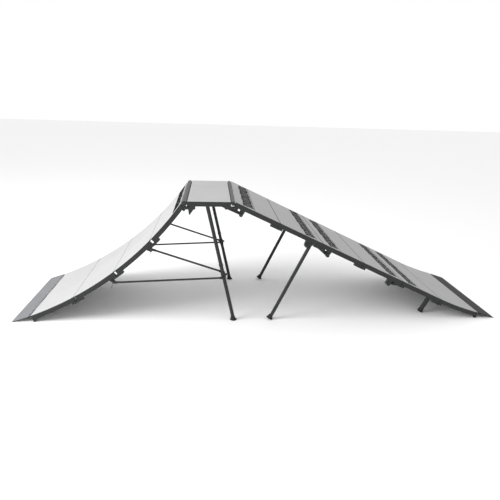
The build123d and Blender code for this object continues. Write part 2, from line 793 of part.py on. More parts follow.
# ---- folding landing legs and their feet ------------------------------------------------------
down = plane_at(leg_pivot + (leg_seam[2],))
leg_run = down.from_local_coords((0, -1, 0)) - down.origin
tilt = radians(landing_slope)
foot_drop = foot_radius * sin(tilt)  # centre of the tilted flange above its lowest edge
landing_leg_length = (leg_pivot[1] - foot_drop) / cos(tilt)


def on_landing_leg(distance, y):
    """A point on a landing leg's axis, below its pivot."""
    x, z = point_at(leg_pivot + (leg_seam[2],), 0, -distance)
    return (x, y, z)


for name, side in sides.items():
    y = side * rail_y
    with BuildPart() as landing_leg:
        tube_end = landing_leg_length - foot_flange
        tube_between(
            on_landing_leg(leg_head_length, y), on_landing_leg(tube_end, y), leg_radius, leg_wall
        )
        plane = plane_at(leg_pivot + (leg_seam[2],), y)
        low = -leg_head_length - leg_head_overlap
        head = box_points(-leg_head_radius, leg_head_radius, low, 0)
        prism(plane, head, tongue_width)
        half = tongue_width / 2
        cross_rod(*leg_pivot, leg_head_radius, y - half, y + half)
        bore = pin_radius + running_clearance
        cross_rod(*leg_pivot, bore, y - half - 1, y + half + 1, Mode.SUBTRACT)
    keep(landing_leg, f"landing_leg_{name}")
    with BuildPart() as landing_foot:
        sole = Plane(origin=on_landing_leg(landing_leg_length, y), z_dir=-1 * leg_run)
        with BuildSketch(sole) as flange:
            Circle(foot_radius)
        extrude(flange.sketch, amount=foot_flange)
        with BuildSketch(sole.offset(foot_flange - 0.5)) as base:
            Circle(foot_radius - foot_step)
        with BuildSketch(sole.offset(foot_flange + foot_cone_height)) as top:
            Circle(leg_radius + foot_cup_wall)
        loft([base.sketch.face(), top.sketch.face()])
        with BuildSketch(sole.offset(foot_flange)) as socket:
            Circle(leg_radius)
        extrude(socket.sketch, amount=foot_cone_height + 5, mode=Mode.SUBTRACT)
    keep(landing_foot, f"landing_foot_{name}")

# ---- toe legs, their caps and the toe feet ----------------------------------------------------
cap_radius = toe_leg_diameter / 2 + toe_cap_wall
cap_centre = cap_radius * sin(tilt)
toe_leg_reach = (toe_place[1] - cap_centre) / cos(tilt)


def on_toe_leg(n, y):
    """A point on a toe leg's axis, n above the deck's surface."""
    x, z = point_at(toe_place, 0, n)
    return (x, y, z)


with BuildPart() as toe_legs:
    for side in sides.values():
        y = side * toe_leg_spread
        low = -toe_leg_reach + toe_cap_wall
        tube_between(on_toe_leg(toe_top, y), on_toe_leg(low, y), toe_leg_diameter / 2, leg_wall)
keep(toe_legs, "toe_legs")

with BuildPart() as toe_leg_caps:
    for side in sides.values():
        y = side * toe_leg_spread
        low, high = on_toe_leg(-toe_leg_reach, y), on_toe_leg(-toe_leg_reach + toe_cap_length, y)
        tube_between(low, high, cap_radius, 0)
    for side in sides.values():
        y = side * toe_leg_spread
        sole = Plane(origin=on_toe_leg(-toe_leg_reach + toe_cap_wall, y), z_dir=-1 * leg_run)
        with BuildSketch(sole) as socket:
            Circle(toe_leg_diameter / 2)
        extrude(socket.sketch, amount=toe_cap_length, mode=Mode.SUBTRACT)
keep(toe_leg_caps, "toe_leg_caps")

with BuildPart() as takeoff_toe_feet:
    for side in sides.values():
        first_panel = takeoff_parts[0]
        top = rail_bottom - toe_foot_gap
        near = point_at(along(first_panel, toe_rail_start), 0, top)
        far = point_at(along(first_panel, toe_rail_start + toe_foot_length), 0, top)
        tip = near[0] + toe_foot_rake
        outline = [near, (tip, 0), (tip + toe_foot_tread, 0), far]
        plane = Plane(origin=(0, side * rail_y, 0), x_dir=(1, 0, 0), z_dir=(0, -1, 0))
        prism(plane, outline, rail_size)
keep(takeoff_toe_feet, "takeoff_toe_feet")

with BuildPart() as landing_toe_feet:
    toe_panel = landing_parts[-1]
    toe_end = toe_panel[2] - deck_edge
    rail_stop = toe_panel[2] - toe_rail_end
    for side in sides.values():
        y = side * rail_y
        plug = rail_size - 2 * weld_overlap - 2 * plug_clearance
        strip(toe_panel, rail_stop, toe_end, rail_bottom, rail_top, y, plug)
        spigot = rail_size - 2 * rail_wall - plug_clearance
        middle = (rail_bottom + rail_top) / 2
        bounds = (middle - spigot / 2, middle + spigot / 2)
        strip(toe_panel, rail_stop - plug_depth, rail_stop + 1, *bounds, y, spigot)
        near = point_at(along(toe_panel, rail_stop), 0, rail_bottom)
        far = point_at(along(toe_panel, toe_end), 0, rail_bottom)
        plane = Plane(origin=(0, y, 0), x_dir=(1, 0, 0), z_dir=(0, -1, 0))
        top_near = point_at(along(toe_panel, rail_stop), 0, rail_bottom + weld_overlap)
        top_far = point_at(along(toe_panel, toe_end), 0, rail_bottom + weld_overlap)
        prism(plane, [top_near, (near[0], 0), (far[0], 0), top_far], plug)
keep(landing_toe_feet, "landing_toe_feet")

# ---- braces and their pins --------------------------------------------------------------------
lower_pin = brace_pin_at(takeoff_seams[2])
upper_pin = brace_pin_at(takeoff_seams[3])
for name, side in sides.items():
    with BuildPart() as lower_brace:
        brace(lower_pin, (on_leg(low_stud), low_stud), side * (rail_y + brace_offset))
    keep(lower_brace, f"lower_brace_{name}")
    with BuildPart() as upper_brace:
        brace(upper_pin, (on_leg(high_stud), high_stud), side * (rail_y - brace_offset))
    keep(upper_brace, f"upper_brace_{name}")

with BuildPart() as brace_pins:
    for (x, z), way in ((lower_pin, 1), (upper_pin, -1)):
        for side in sides.values():
            y = side * rail_y
            start = y - way * side * (tongue_width / 2 + 1)
            end = y + way * side * stud_reach
            cross_rod(x, z, pin_radius, *sorted((start, end)))
            head = end + way * side * stud_head
            cross_rod(x, z, pin_head_radius, *sorted((end, head)))
            butt = start - way * side * stud_head
            cross_rod(x, z, pin_head_radius, *sorted((start, butt)))
keep(brace_pins, "brace_pins")

# ---- lock knobs -------------------------------------------------------------------------------
knob_axes = {
    "ridge": knob_place(landing_seams[0], knob_downhill),
    "leg": knob_place(leg_seam, -knob_leg_uphill),
    "upper": knob_place(leg_seam, knob_downhill),
    "lower": knob_place(landing_seams[4], -knob_uphill),
}
face = half_width + knob_gap
tip = half_width - rail_size - strap_gap - strap_thickness
for place, (x, z) in knob_axes.items():
    for name, side in sides.items():
        with BuildPart() as knob:
            cross_rod(x, z, plunger_radius, *sorted((side * tip, side * face)))
            shoulder = face + knob_collar
            cross_rod(x, z, knob_radius - knob_neck, *sorted((side * face, side * shoulder)))
            grip = (side * shoulder, side * (face + knob_length))
            cross_rod(x, z, knob_radius, *sorted(grip))
            rims = knob.edges().filter_by(GeomType.CIRCLE).group_by(SortBy.RADIUS)[-1]
            chamfer(rims, knob_chamfer)
        keep(knob, f"{place}_knob_{name}")
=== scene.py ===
import json
from math import atan2, cos, pi, radians, sin

import bpy
from mathutils import Matrix, Vector


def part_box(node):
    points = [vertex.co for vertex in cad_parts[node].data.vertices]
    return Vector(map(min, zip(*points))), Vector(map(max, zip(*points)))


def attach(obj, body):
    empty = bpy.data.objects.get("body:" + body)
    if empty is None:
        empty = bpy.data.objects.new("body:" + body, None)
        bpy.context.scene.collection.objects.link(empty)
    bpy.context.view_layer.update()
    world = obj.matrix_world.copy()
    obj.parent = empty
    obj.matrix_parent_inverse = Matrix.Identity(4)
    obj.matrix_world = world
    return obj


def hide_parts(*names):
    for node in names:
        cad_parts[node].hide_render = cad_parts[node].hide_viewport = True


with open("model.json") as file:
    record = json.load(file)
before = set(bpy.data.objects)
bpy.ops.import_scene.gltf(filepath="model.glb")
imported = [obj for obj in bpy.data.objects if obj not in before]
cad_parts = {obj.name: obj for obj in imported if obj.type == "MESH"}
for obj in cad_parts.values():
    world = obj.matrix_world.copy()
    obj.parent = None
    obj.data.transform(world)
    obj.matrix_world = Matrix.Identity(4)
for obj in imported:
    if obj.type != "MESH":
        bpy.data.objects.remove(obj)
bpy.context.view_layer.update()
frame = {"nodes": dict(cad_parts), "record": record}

bl_info = {
    "name": "Folding jump ramp set",
    "version": (1, 0, 0),
    "blender": (4, 5, 0),
    "location": "3D View > Sidebar > Jump ramp",
    "description": "Finishes the folding jump ramp: decks, screws, plugs, knobs, feet and welds",
    "category": "Mesh",
}

# ---- sizes shared with the frame, metres and radians ------------------------------------------
HALF_WIDTH = 0.61
RAIL = 0.04
RAIL_Y = HALF_WIDTH - RAIL / 2
DECK = 0.009
RAIL_LOW = -DECK - RAIL
PANEL = 0.508
TAKEOFF_RADIUS = 3.468136
TOE_RADIUS = 2.943686
GAP_UPHILL, GAP_DOWNHILL = 0.025, 0.012
PIVOT_DOWNHILL, PIVOT_DROP = 0.020, 0.0125
BLOCK_LENGTH = 0.055
CROSS_INSET = 0.085
PLATFORM = (-0.806801, -0.375801, 1.304221)
PLATFORM_LENGTH = PLATFORM[1] - PLATFORM[0]
TAKEOFF_PANEL = 0.508455  # along the curve
DECK_EDGE = 0.009  # a board stops this far short of a flap
LIP_DECK_END, LIP_RAIL_TRIM = 0.497, 0.0215
TOE_RAIL_START = 0.015
KNOB_DROP = 0.046  # axis below the rails
LEG_PIVOT = (0.110, 0.023)  # uphill of its seam, and below the rails
BRACE_PIN = (0.068, 0.038)  # downhill of its seam, and below the rails
TOE_LEG_Y, LEG_RADIUS = 0.45, 0.019
FLAP_SLOPE = radians(17.8504)
COPING_RADII = {"takeoff_coping": 0.027, "landing_coping": 0.021}
FASTENER_SEAT = 0.025  # a pin's head or nut stands this far from the middle of its rail
LEG_FOOT_X, LEG_SPREAD, FOOT_SEAT = -0.325801, 0.282, 0.006
SIDES = {"right": -1, "left": 1}
# a seam is x, z and the slope of the deck there, from the take-off end to the landing end
TAKEOFF = [
    (-2.455185, 0.065, radians(20.8)),
    (-1.994781, 0.27969, radians(29.2)),
    (-1.570678, 0.559334, radians(37.6)),
    (-1.191976, 0.897933, radians(46.0)),
    (-0.866801, 1.288221, radians(54.4)),
]
LANDING = [
    (-0.327801, 1.304221, radians(-24.827)),
    (0.133249, 1.090921, radians(-24.827)),
    (0.5943, 0.877621, radians(-24.827)),
    (1.05535, 0.664321, radians(-24.827)),
    (1.5164, 0.451022, radians(-24.827)),
    (1.97745, 0.237722, radians(-24.827)),
    (2.455185, 0.065, radians(-14.927)),
]


# ---- places on the decks ----------------------------------------------------------------------
def takeoff(number, u=0.0):
    """x, z and slope at u along take-off panel 1 to 4."""
    x, z, a = TAKEOFF[number - 1]
    b = a + u / TAKEOFF_RADIUS
    return (x + TAKEOFF_RADIUS * (sin(b) - sin(a)), z + TAKEOFF_RADIUS * (cos(a) - cos(b)), b)


def landing(number, u=0.0):
    """x, z and slope at u along landing panel 1 to 6."""
    x, z, a = LANDING[number - 1]
    if number < 6:
        return (x + u * cos(a), z + u * sin(a), a)
    b = a + u / TOE_RADIUS
    return (x + TOE_RADIUS * (sin(b) - sin(a)), z + TOE_RADIUS * (cos(a) - cos(b)), b)


def platform(_number, u=0.0):
    """x, z and slope at u along the platform."""
    return (PLATFORM[0] + u, PLATFORM[2], 0.0)


def at(place, y=0.0, n=0.0, u=0.0):
    """Matrix of a place: its X along the deck, Y across and Z square to the deck."""
    x, z, a = place
    ax, up = Vector((cos(a), 0, sin(a))), Vector((-sin(a), 0, cos(a)))
    centre = Vector((x, y, z)) + ax * u + up * n
    turn = Matrix((ax, Vector((0, 1, 0)), up)).transposed().to_4x4()
    return Matrix.Translation(centre) @ turn


def mirrored(way):
    """Keeps a model for the left side and mirrors it across Y for the right."""
    return Matrix.Diagonal((1, way, 1, 1))


def pivot(seam, uphill):
    """Matrix of the hinge pivot under a seam; uphill is +1 or -1 along X."""
    return at(seam, 0.0, RAIL_LOW - PIVOT_DROP, -uphill * PIVOT_DOWNHILL)


PANELS = [("takeoff", takeoff, i) for i in range(1, 5)] + [("platform", platform, 0)]
PANELS += [("landing", landing, i) for i in range(1, 7)]
# how far along its panel a board reaches, where it isn't the whole panel, and its seam lines
DECK_ENDS = {("takeoff", 1): (DECK_EDGE, PANEL), ("takeoff", 4): (0.0, LIP_DECK_END)}
DECK_ENDS |= {("platform", 0): (0.0, PLATFORM_LENGTH), ("landing", 6): (0.0, PANEL - DECK_EDGE)}
SEAM_LINE = {"takeoff": 0.0022, "landing": 0.0040}
BODY = {("takeoff", 1): "takeoff_toe", ("landing", 2): "landing_upper", ("landing", 3): "landing_upper"}
BODY |= {("landing", 4): "landing_middle", ("landing", 5): "landing_middle"}
BODY |= {("landing", 6): "landing_toe"}


def body_of(kind, number):
    """The body that a panel belongs to."""
    return BODY.get((kind, number), "platform")


# ---- modelling helpers ------------------------------------------------------------------------
def start_clean():
    """Object mode with nothing selected."""
    if bpy.context.object and bpy.context.object.mode != "OBJECT":
        bpy.ops.object.mode_set(mode="OBJECT")
    bpy.ops.object.select_all(action="DESELECT")


def fresh(operator, name, **settings):
    """Adds a primitive with its place and turn in its mesh, and leaves it selected."""
    start_clean()
    operator(**settings)
    bpy.ops.object.transform_apply(location=True, rotation=True, scale=True)
    made = bpy.context.object
    made.name = made.data.name = name
    return made


def box(name, low, high):
    """A box between two corners."""
    centre = [(a + b) / 2 for a, b in zip(low, high)]
    size = [b - a for a, b in zip(low, high)]
    return fresh(bpy.ops.mesh.primitive_cube_add, name, size=1, location=centre, scale=size)


def pick(obj, chosen, kind="FACE"):
    """Selects the faces or edges of a mesh that answer, and stays in edit mode."""
    start_clean()
    obj.select_set(True)
    bpy.context.view_layer.objects.active = obj
    bpy.ops.object.mode_set(mode="EDIT")
    bpy.ops.mesh.select_mode(type=kind)
    bpy.ops.mesh.select_all(action="DESELECT")
    bpy.ops.object.mode_set(mode="OBJECT")
    items = obj.data.polygons if kind == "FACE" else obj.data.edges
    for item in items:
        item.select = bool(chosen(item))
    bpy.ops.object.mode_set(mode="EDIT")


def done(obj, smooth=30.0):
    """Back to object mode, faces outwards, shaded smooth below an angle."""
    pick(obj, lambda face: True)
    bpy.ops.mesh.normals_make_consistent(inside=False)
    bpy.ops.object.mode_set(mode="OBJECT")
    bpy.ops.object.shade_smooth_by_angle(angle=radians(smooth))
    return obj


def softened(obj, width, segments=2, angle=35.0):
    """A bevel on the sharp edges, applied."""
    start_clean()
    obj.select_set(True)
    bpy.context.view_layer.objects.active = obj
    bevel = obj.modifiers.new("edges", "BEVEL")
    bevel.width, bevel.segments = width, segments
    bevel.limit_method, bevel.angle_limit = "ANGLE", radians(angle)
    bpy.ops.object.modifier_apply(modifier=bevel.name)
    return obj


def turned(name, profile, points=32, lean=0.0):
    """A turned shape on the Z axis, extruded ring by ring through (radius, height) pairs;
    lean is how far its axis moves along X for each unit of height."""
    radius, height = profile[0]
    made = fresh(
        bpy.ops.mesh.primitive_circle_add,
        name,
        vertices=points,
        radius=radius,
        fill_type="NGON",
        location=(lean * height, 0, height),
    )
    pick(made, lambda face: True)
    for r, h in profile[1:]:
        move = {"value": (lean * (h - height), 0, h - height)}
        bpy.ops.mesh.extrude_region_move(TRANSFORM_OT_translate=move)
        bpy.ops.transform.resize(value=(r / radius, r / radius, 1), center_override=(lean * h, 0, h))
        radius, height = r, h
    return done(made)


def spread(name, model, places, body, material):
    """Copies a model to each place, joins the copies into one piece and rides it on a body."""
    copies = []
    for place in places:
        copy = model.copy()
        copy.data = model.data.copy()
        copy.data.transform(place)
        if place.determinant() < 0:
            copy.data.flip_normals()
        bpy.context.scene.collection.objects.link(copy)
        copies.append(copy)
    start_clean()
    for copy in copies:
        copy.select_set(True)
    bpy.context.view_layer.objects.active = copies[0]
    if len(copies) > 1:
        bpy.ops.object.join()
    piece = bpy.context.view_layer.objects.active
    piece.name = piece.data.name = name
    return finish_piece(piece, body, material)


def finish_piece(piece, body, material):
    """Gives a piece its material, body and slot."""
    piece.data.materials.clear()
    piece.data.materials.append(material)
    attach(piece, body)
    return piece


def drop(model):
    """Removes a model that only its copies are shown of."""
    bpy.data.objects.remove(model)


def by_body(entries):
    """Places grouped by the body they ride on."""
    groups = {}
    for body, place in entries:
        groups.setdefault(body, []).append(place)
    return groups


ACROSS = {side: Matrix.Rotation(way * pi / 2, 4, "X") for side, way in (("right", 1), ("left", -1))}


def facing(side):
    """Turns a model's +Z outward to a side of the set."""
    return ACROSS[side]


# ---- materials --------------------------------------------------------------------------------
def hex_colour(code):
    """sRGB hex to linear RGBA."""
    channels = [int(code[i : i + 2], 16) / 255 for i in (1, 3, 5)]
    return tuple(
        c / 12.92 if c <= 0.04045 else ((c + 0.055) / 1.055) ** 2.4 for c in channels
    ) + (1.0,)


def node(tree, kind, settings=None, inputs=None, links=None):
    """Adds a node, sets its properties and sockets, and links outputs into its sockets."""
    made = tree.nodes.new(kind)
    for key, value in (settings or {}).items():
        setattr(made, key, value)
    for key, value in (inputs or {}).items():
        made.inputs[key].default_value = value
    for key, (source, output) in (links or {}).items():
        tree.links.new(source.outputs[output], made.inputs[key])
    return made


def base_material(name, **sockets):
    """A new material: its tree, shader and Object coordinates."""
    material = bpy.data.materials.new(name)
    material.use_nodes = True
    tree = material.node_tree
    shader = tree.nodes["Principled BSDF"]
    for key, value in sockets.items():
        shader.inputs[key.replace("_", " ")].default_value = value
    coords = node(tree, "ShaderNodeTexCoord")
    return material, tree, shader, coords


def ramp_between(tree, source, output, low, high, first, last):
    """Turns a value between two stops into a colour between two colours."""
    made = node(tree, "ShaderNodeValToRGB", links={"Fac": (source, output)})
    made.color_ramp.elements[0].position, made.color_ramp.elements[1].position = low, high
    made.color_ramp.elements[0].color, made.color_ramp.elements[1].color = first, last
    return made


def noise(tree, coords, scale, detail=2.0, roughness=0.5, stretch=None):
    """Noise on Object coordinates; scale is turns of the pattern per metre."""
    source = (coords, "Object")
    if stretch:
        mapped = node(tree, "ShaderNodeMapping", inputs={"Scale": stretch}, links={"Vector": source})
        source = (mapped, "Vector")
    inputs = {"Scale": scale, "Detail": detail, "Roughness": roughness}
    return node(tree, "ShaderNodeTexNoise", inputs=inputs, links={"Vector": source})


def bump(tree, shader, source, output, strength, distance):
    """Bump from a value into the shader."""
    made = node(
        tree,
        "ShaderNodeBump",
        inputs={"Strength": strength, "Distance": distance},
        links={"Height": (source, output)},
    )
    tree.links.new(made.outputs["Normal"], shader.inputs["Normal"])
    return made


def vary_roughness(tree, shader, source, output, low, high):
    """Roughness between two values from a pattern."""
    made = node(
        tree,
        "ShaderNodeMapRange",
        inputs={"To Min": low, "To Max": high},
        links={"Value": (source, output)},
    )
    tree.links.new(made.outputs["Result"], shader.inputs["Roughness"])


def mixed(tree, factor, first, second):
    """A colour mixed from two by a factor; each may be a colour or a node's output."""
    made = node(tree, "ShaderNodeMix", {"data_type": "RGBA"})
    tree.links.new(factor[0].outputs[factor[1]], made.inputs["Factor"])
    for socket, value in ((made.inputs[6], first), (made.inputs[7], second)):
        if isinstance(value[0], bpy.types.Node):
            tree.links.new(value[0].outputs[value[1]], socket)
        else:
            socket.default_value = value
    return made


def shade(colour, share):
    """A colour made darker or lighter by a share."""
    return tuple(min(1.0, c * share) for c in colour[:3]) + (1.0,)


def laminate(name, colour, scuff=0.94):
    """High-pressure laminate board, fine textured: an even, dry, slightly pebbled light face
    with faint tyre scuffs along the run and a little dust."""
    material, tree, shader, coords = base_material(name, Roughness=0.55)
    # 2.5 mm pebble, drawn coarser than the real 1 mm so that it shows
    pebble = noise(tree, coords, 400.0, 3.0, 0.6)
    cloud = noise(tree, coords, 3.0, 4.0, 0.55)
    tone = ramp_between(tree, cloud, "Fac", 0.35, 0.65, shade(colour, 0.97), shade(colour, 1.02))
    # scuffs 15 mm wide and half a metre long, across the middle of the run
    streak = noise(tree, coords, 1.0, 5.0, 0.6, stretch=(1.6, 38.0, 1.6))
    worn = ramp_between(tree, streak, "Fac", 0.60, 0.78, (0, 0, 0, 1), (0.5, 0.5, 0.5, 1))
    colours = mixed(tree, (worn, "Color"), (tone, "Color"), shade(colour, scuff))
    speck = ramp_between(tree, pebble, "Fac", 0.4, 0.6, (0.97, 0.97, 0.97, 1), (1, 1, 1, 1))
    total = node(
        tree,
        "ShaderNodeMix",
        {"data_type": "RGBA", "blend_type": "MULTIPLY"},
        {"Factor": 1.0},
    )
    tree.links.new(colours.outputs[2], total.inputs[6])
    tree.links.new(speck.outputs["Color"], total.inputs[7])
    tree.links.new(total.outputs[2], shader.inputs["Base Color"])
    vary_roughness(tree, shader, pebble, "Fac", 0.48, 0.64)
    bump(tree, shader, pebble, "Fac", 0.18, 0.0006)
    return material


def powder_coat(name, colour):
    """Powder-coated steel tube: a satin dark grey skin with orange peel, rubbed lighter in
    small patches where the panels knock together."""
    material, tree, shader, coords = base_material(name, Roughness=0.46, Specular_IOR_Level=0.3)
    peel = noise(tree, coords, 500.0, 2.0, 0.5)
    cloud = noise(tree, coords, 9.0, 4.0, 0.6)
    tone = ramp_between(tree, cloud, "Fac", 0.3, 0.7, shade(colour, 0.88), shade(colour, 1.15))
    rub = noise(tree, coords, 45.0, 6.0, 0.7)
    worn = ramp_between(tree, rub, "Fac", 0.66, 0.74, (0, 0, 0, 1), (0.55, 0.55, 0.55, 1))
    colours = mixed(tree, (worn, "Color"), (tone, "Color"), hex_colour("#4E4F50"))
    tree.links.new(colours.outputs[2], shader.inputs["Base Color"])
    vary_roughness(tree, shader, cloud, "Fac", 0.36, 0.50)
    bump(tree, shader, peel, "Fac", 0.15, 0.0004)
    return material


def coated_sheet(name, colour, rough):
    """Painted steel sheet, rolled and satin: almost flat, with long faint drag marks where
    wheels cross it."""
    material, tree, shader, coords = base_material(name, Roughness=rough, Specular_IOR_Level=0.3)
    drag = noise(tree, coords, 1.0, 6.0, 0.65, stretch=(4.0, 160.0, 4.0))
    cloud = noise(tree, coords, 6.0, 3.0, 0.5)
    tone = ramp_between(tree, cloud, "Fac", 0.3, 0.7, shade(colour, 0.93), shade(colour, 1.05))
    worn = ramp_between(tree, drag, "Fac", 0.62, 0.72, (0, 0, 0, 1), (0.35, 0.35, 0.35, 1))
    colours = mixed(tree, (worn, "Color"), (tone, "Color"), shade(colour, 1.35))
    tree.links.new(colours.outputs[2], shader.inputs["Base Color"])
    vary_roughness(tree, shader, drag, "Fac", rough - 0.07, rough + 0.1)
    bump(tree, shader, drag, "Fac", 0.08, 0.0005)
    return material


def zinc(name, colour):
    """Zinc-plated steel with a black passivate: a dark, dull metal with a faint mottle."""
    material, tree, shader, coords = base_material(name, Metallic=1.0, Roughness=0.3)
    mottle = noise(tree, coords, 220.0, 3.0, 0.6)
    tone = ramp_between(tree, mottle, "Fac", 0.35, 0.65, shade(colour, 0.82), colour)
    tree.links.new(tone.outputs["Color"], shader.inputs["Base Color"])
    vary_roughness(tree, shader, mottle, "Fac", 0.22, 0.42)
    bump(tree, shader, mottle, "Fac", 0.05, 0.0002)
    return material


def moulded(name, colour, rough, grain, depth):
    """Moulded black rubber or nylon: dull, with a fine spark-eroded grain and a little dust."""
    material, tree, shader, coords = base_material(name, Roughness=rough)
    skin = noise(tree, coords, grain, 2.0, 0.5)
    dust = noise(tree, coords, 28.0, 5.0, 0.65)
    grey = ramp_between(tree, dust, "Fac", 0.5, 0.8, colour, shade(colour, 2.2))
    tree.links.new(grey.outputs["Color"], shader.inputs["Base Color"])
    vary_roughness(tree, shader, skin, "Fac", rough - 0.08, rough + 0.1)
    bump(tree, shader, skin, "Fac", 0.2, depth)
    return material


def ink(name, colour):
    """Screen-printed vinyl ink: dense matt black, a little rubbed through to the board."""
    material, tree, shader, coords = base_material(name, Roughness=0.75, Specular_IOR_Level=0.1)
    rub = noise(tree, coords, 70.0, 6.0, 0.75)
    worn = ramp_between(tree, rub, "Fac", 0.68, 0.78, colour, shade(colour, 5.0))
    tree.links.new(worn.outputs["Color"], shader.inputs["Base Color"])
    vary_roughness(tree, shader, rub, "Fac", 0.7, 0.85)
    bump(tree, shader, rub, "Fac", 0.1, 0.0003)
    return material


MATERIALS = {}


def material_for(slot):
    """The material of a slot, made once."""
    colours = bpy.context.scene.ramp_colours
    makers = {
        # one laminate for all the boards, its colour stepped darker from take-off to platform to landing
        # as painted light and shade for the key light from the left
        "pale_deck": lambda: laminate("laminate_takeoff_painted_lit", tuple(colours.takeoff_board_painted_lit) + (1,)),
        "platform_deck": lambda: laminate("laminate_platform_painted_half_shade", tuple(colours.platform_board_painted_half_shade) + (1,)),
        "grey_deck": lambda: laminate("laminate_landing_painted_shade", tuple(colours.landing_board_painted_shade) + (1,)),
        "powder_coat": lambda: powder_coat("powder_coated_steel", tuple(colours.frame_coat) + (1,)),
        "coping_coat": lambda: powder_coat("powder_coated_coping", tuple(colours.coping_coat) + (1,)),
        "zinc_sheet": lambda: coated_sheet("painted_sheet_grey", tuple(colours.grey_flap) + (1,), 0.42),
        "dark_sheet": lambda: coated_sheet("painted_sheet_dark", tuple(colours.dark_flap) + (1,), 0.62),
        "zinc_steel": lambda: zinc("black_zinc_plated_steel", hex_colour("#55575A")),
        "black_rubber": lambda: moulded("moulded_rubber", hex_colour("#1C1C1D"), 0.72, 300.0, 0.0006),
        "black_plastic": lambda: moulded("moulded_nylon", hex_colour("#17171A"), 0.48, 700.0, 0.0002),
        "black_ink": lambda: ink("printed_ink", tuple(colours.ink) + (1,)),
    }
    if slot not in MATERIALS:
        MATERIALS[slot] = makers[slot]()
    return MATERIALS[slot]


# ---- what a user may change -------------------------------------------------------------------
def length(name, description, default, low=0.0005, high=0.5):
    """A length setting in metres."""
    return bpy.props.FloatProperty(
        name=name, description=description, default=default, min=low, max=high, unit="LENGTH"
    )


def colour_setting(name, description, code):
    """A colour setting from a hex code."""
    return bpy.props.FloatVectorProperty(
        name=name,
        description=description,
        default=hex_colour(code)[:3],
        min=0.0,
        max=1.0,
        size=3,
        subtype="COLOR",
    )


class RampSizes(bpy.types.PropertyGroup):
    """Sizes of the fittings."""

    screw_radius: length("Deck screw", "Radius of the head of a deck screw", 0.0065)
    band_length: length("Grip band", "Length of a printed band along the run", 0.125)
    knob_radius: length("Knob", "Radius of a lock knob's grip", 0.019)
    nut_radius: length("Nut", "Corner radius of a pivot nut", 0.0105)
    weld_radius: length("Weld", "Radius of a weld bead", 0.0032)
    wire_radius: length("Clip wire", "Radius of the wire of a pin clip", 0.0021)
    rivet_radius: length("Flap rivet", "Radius of the head of a flap rivet", 0.008)


class RampColours(bpy.types.PropertyGroup):
    """Colours of the boards and coats."""

    # the three board colours are one laminate, stepped darker from take-off to landing: painted light on
    # the take-off and painted shade on the landing, for the key light from the left
    takeoff_board_painted_lit: colour_setting("Take-off board", "Face of the take-off decks", "#ADADAD")
    platform_board_painted_half_shade: colour_setting("Platform board", "Face of the platform deck", "#A4A4A4")
    landing_board_painted_shade: colour_setting("Landing board", "Face of the landing decks", "#9C9C9C")
    frame_coat: colour_setting("Frame coat", "Powder coat of the frames and legs", "#262728")
    coping_coat: colour_setting("Coping coat", "Powder coat of the two copings", "#303132")
    grey_flap: colour_setting("Approach flap", "Paint of the approach flap", "#6D6E71")
    dark_flap: colour_setting("Exit flap", "Paint of the exit flap", "#131415")
    ink: colour_setting("Print", "Ink of the grip bands", "#040404")


# ---- the pieces -------------------------------------------------------------------------------
class RAMP_OT_finish_frame(bpy.types.Operator):
    """Gives every part of the CAD frame its real material"""

    bl_idname = "ramp.finish_frame"
    bl_label = "Frame finishes"

    def execute(self, context):
        slots = {p["node"]: p["material_slot"] for p in frame["record"]["subparts"]}
        for name, obj in frame["nodes"].items():
            slot = "coping_coat" if name.endswith("_coping") else slots[name]
            obj.data.materials.clear()
            obj.data.materials.append(material_for(slot))
        return {"FINISHED"}


class RAMP_OT_deck_screws(bpy.types.Operator):
    """Pan-head screws, painted to match, that hold the boards to the cross tubes and rails"""

    bl_idname = "ramp.deck_screws"
    bl_label = "Deck screws"

    def execute(self, context):
        r = context.scene.ramp_sizes.screw_radius
        profile = [(r, 0.0), (r, 0.0008), (0.82 * r, 0.0018), (0.42 * r, 0.0021), (0.34 * r, 0.0010)]
        screw = turned("screw", profile, 16)
        for kind, line, number in PANELS:
            full = PLATFORM_LENGTH if kind == "platform" else PANEL
            inset = 0.030 if kind == "platform" else CROSS_INSET
            rows = (inset, full / 2, full - inset)
            places = [
                at(line(number, u), y, 0.0)
                for u in rows
                for y in (-0.59, -0.295, 0.0, 0.295, 0.59)
            ]
            slot = {"takeoff": "pale_deck", "platform": "platform_deck", "landing": "grey_deck"}[kind]
            name = f"screws_{kind}_{number}" if number else "screws_platform"
            spread(name, screw, places, body_of(kind, number), material_for(slot))
        drop(screw)
        return {"FINISHED"}


